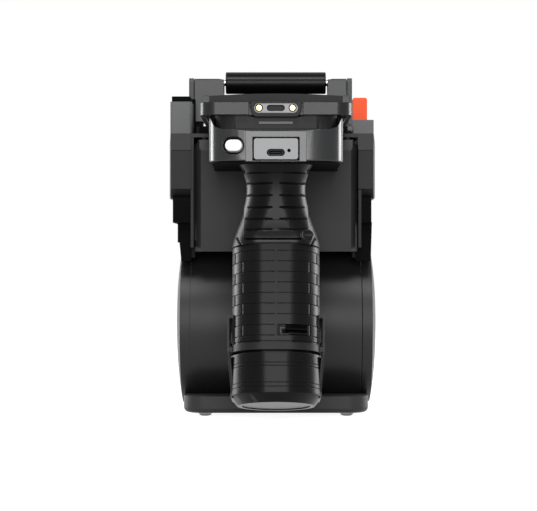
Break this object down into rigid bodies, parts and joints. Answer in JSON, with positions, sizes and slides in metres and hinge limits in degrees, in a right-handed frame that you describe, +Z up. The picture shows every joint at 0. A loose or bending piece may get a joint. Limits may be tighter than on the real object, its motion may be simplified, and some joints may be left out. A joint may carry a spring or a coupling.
{
  "type": "handheld label printer",
  "caption": "Handheld print-and-apply label printer: pistol grip with battery, terminal in a top cradle, drum for the label roll on a flat base, and a rubber applicator roller between arms.",
  "frame": {"origin": "centre of the base plate's underside, right under the drum's axis", "axes": "+Z up; +Y away from the operator, towards the applicator roller; +X the operator's right"},
  "size_m": [0.1278, 0.2107, 0.2133],
  "materials": {
    "black_shell": "satin",
    "dark_shell": "satin",
    "grey_shell": "satin",
    "grey_plastic": "matte",
    "black_gloss": "gloss",
    "white_plastic": "satin",
    "orange_plastic": "satin",
    "black_rubber": "matte",
    "clear_rubber": "gloss",
    "steel": "satin",
    "sheet_steel": "satin",
    "aluminium": "satin",
    "bronze": "satin",
    "brass_gear": "satin",
    "circuit_board": "satin",
    "label_paper": "matte",
    "core_card": "matte",
    "screen_glass": "gloss"
  },
  "bodies": {
    "printer": {"base_plinth": "black_shell", "bumper_feet": "clear_rubber", "case_screws": "steel", "drum_shell": "black_gloss", "left_drum_disc": "black_shell", "roll_spindle": "grey_plastic", "steel_pins": "steel", "printer_frame": "sheet_steel", "platen_bushes": "bronze", "motor": "sheet_steel", "fixed_axles": "steel", "lever_block": "black_shell", "latch_box": "dark_shell", "left_side_cover": "dark_shell", "right_side_cover": "dark_shell", "side_cheeks": "black_shell", "rear_plate": "dark_shell", "top_deck": "black_shell", "head_cover": "black_shell", "label_chute": "dark_shell", "left_arm": "grey_shell", "right_arm": "grey_shell", "arm_skins": "dark_shell", "main_board": "circuit_board", "cradle_shell": "dark_shell", "cradle_plate": "black_shell", "usb_panel": "grey_shell", "charge_port": "steel", "neck_housing": "black_shell", "rear_grip_pad": "black_rubber", "grip_sleeve": "black_rubber", "battery_collar": "black_shell"},
    "media_door": {"media_door": "black_shell"},
    "door_knob": {"media_door_knob": "orange_plastic"},
    "label_roll": {"label_roll": "label_paper", "roll_core": "core_card"},
    "platen": {"platen_rubber": "black_rubber", "platen_shaft": "steel", "platen_gear": "white_plastic"},
    "motor_pinion": {"motor_pinion": "brass_gear"},
    "print_head": {"print_head": "grey_plastic", "head_bracket": "aluminium"},
    "head_lever": {"cam_shaft": "steel", "head_lever": "orange_plastic"},
    "cover_latch": {"cover_latch": "dark_shell"},
    "front_cover": {"front_cover": "dark_shell"},
    "applicator_roller": {"applicator_roller": "black_rubber"},
    "power_button": {"power_button": "white_plastic"},
    "terminal": {"terminal_back": "black_shell", "terminal_frame": "dark_shell", "terminal_bezel": "black_gloss", "display_glass": "screen_glass", "terminal_port": "black_gloss"},
    "left_scan_key": {"left_scan_key": "orange_plastic"},
    "right_scan_key": {"right_scan_key": "orange_plastic"},
    "trigger": {"trigger": "black_shell"},
    "battery": {"battery_pack": "black_shell", "battery_cap": "black_shell"},
    "left_release": {"left_battery_release": "black_shell"},
    "right_release": {"right_battery_release": "black_shell"}
  },
  "joints": [
    {"name": "media_door_hinge", "type": "hinge", "parent": "printer", "child": "media_door", "pos_m": [0.0532, 0.0525, 0.0516], "axis": [0, 0, 1], "range_deg": [0, 100]},
    {"name": "door_knob_turn", "type": "hinge", "parent": "media_door", "child": "door_knob", "pos_m": [0.058, 0, 0.0516], "axis": [1, 0, 0], "range_deg": [0, 90]},
    {"name": "label_roll_spin", "type": "hinge", "parent": "printer", "child": "label_roll", "pos_m": [0, 0, 0.0516], "axis": [1, 0, 0], "continuous": true},
    {"name": "platen_spin", "type": "hinge", "parent": "printer", "child": "platen", "pos_m": [0, 0.033, 0.1476], "axis": [1, 0, 0], "continuous": true},
    {"name": "motor_pinion_spin", "type": "hinge", "parent": "printer", "child": "motor_pinion", "pos_m": [-0.0535, 0.01139, 0.13973], "axis": [1, 0, 0], "continuous": true},
    {"name": "head_lever_turn", "type": "hinge", "parent": "printer", "child": "head_lever", "pos_m": [0.0532, 0.027, 0.1694], "axis": [-1, 0, 0], "range_deg": [0, 60]},
    {"name": "print_head_lift", "type": "hinge", "parent": "printer", "child": "print_head", "pos_m": [0, 0.016, 0.158], "axis": [1, 0, 0], "range_deg": [0, 6]},
    {"name": "cover_latch_slide", "type": "slide", "parent": "printer", "child": "cover_latch", "axis": [0, 1, 0], "range_m": [0, 0.003], "stiffness_N_per_m": 400, "springref_m": -0.001},
    {"name": "front_cover_hinge", "type": "hinge", "parent": "printer", "child": "front_cover", "pos_m": [0, 0.0475, 0.097], "axis": [-1, 0, 0], "range_deg": [0, 90]},
    {"name": "applicator_roller_spin", "type": "hinge", "parent": "printer", "child": "applicator_roller", "pos_m": [0, 0.037, 0.2039], "axis": [1, 0, 0], "continuous": true},
    {"name": "power_button_press", "type": "slide", "parent": "printer", "child": "power_button", "axis": [0, 1, 0], "range_m": [0, 0.0006], "stiffness_N_per_m": 800, "springref_m": -0.0005},
    {"name": "terminal_lift", "type": "slide", "parent": "printer", "child": "terminal", "axis": [0, 0, 1], "range_m": [0, 0.04]},
    {"name": "left_scan_key_press", "type": "slide", "parent": "terminal", "child": "left_scan_key", "axis": [1, 0, 0], "range_m": [0, 0.0004], "stiffness_N_per_m": 800, "springref_m": -0.0005},
    {"name": "right_scan_key_press", "type": "slide", "parent": "terminal", "child": "right_scan_key", "axis": [-1, 0, 0], "range_m": [0, 0.0004], "stiffness_N_per_m": 800, "springref_m": -0.0005},
    {"name": "trigger_pull", "type": "hinge", "parent": "printer", "child": "trigger", "pos_m": [0, -0.0975, 0.131], "axis": [-1, 0, 0], "range_deg": [0, 10], "stiffness_Nm_per_rad": 0.6, "springref_deg": -5.73},
    {"name": "battery_slide", "type": "slide", "parent": "printer", "child": "battery", "axis": [0, -0.1994, -0.9799], "range_m": [0, 0.06]},
    {"name": "left_release_squeeze", "type": "slide", "parent": "printer", "child": "left_release", "axis": [1, 0, 0], "range_m": [0, 0.001], "stiffness_N_per_m": 800, "springref_m": -0.001},
    {"name": "right_release_squeeze", "type": "slide", "parent": "printer", "child": "right_release", "axis": [-1, 0, 0], "range_m": [0, 0.001], "stiffness_N_per_m": 800, "springref_m": -0.001}
  ],
  "couplings": [
    {"joint": "motor_pinion_spin", "follows": "platen_spin", "ratio": -1.3684},
    {"joint": "print_head_lift", "follows": "head_lever_turn", "ratio": 0.09}
  ]
}
